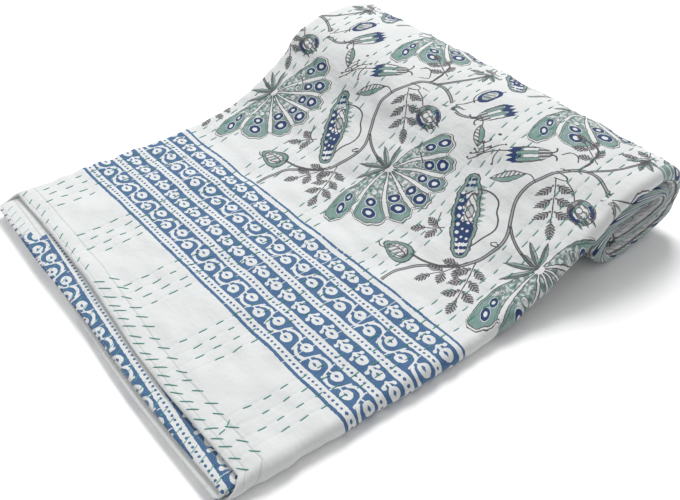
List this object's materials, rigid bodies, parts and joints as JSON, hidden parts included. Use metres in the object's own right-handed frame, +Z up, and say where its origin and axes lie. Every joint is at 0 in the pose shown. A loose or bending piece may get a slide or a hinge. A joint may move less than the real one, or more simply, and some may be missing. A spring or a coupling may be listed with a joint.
{
  "type": "kantha quilt",
  "caption": "Hand-stitched printed cotton quilt, folded lengthwise into a thick strip and half rolled up, with its hems staggered at the loose end.",
  "frame": {"origin": "centre of the bounding box in X and Y, on the floor that the quilt rests on", "axes": "+X from the loose end towards the roll, +Y across the folded quilt towards the roll's taller end, +Z up"},
  "size_m": [0.4626, 0.3843, 0.0868],
  "materials": {
    "printed_cotton": "matte printed cotton with running stitches"
  },
  "bodies": {
    "root": {"quilt": "printed_cotton"}
  },
  "joints": []
}
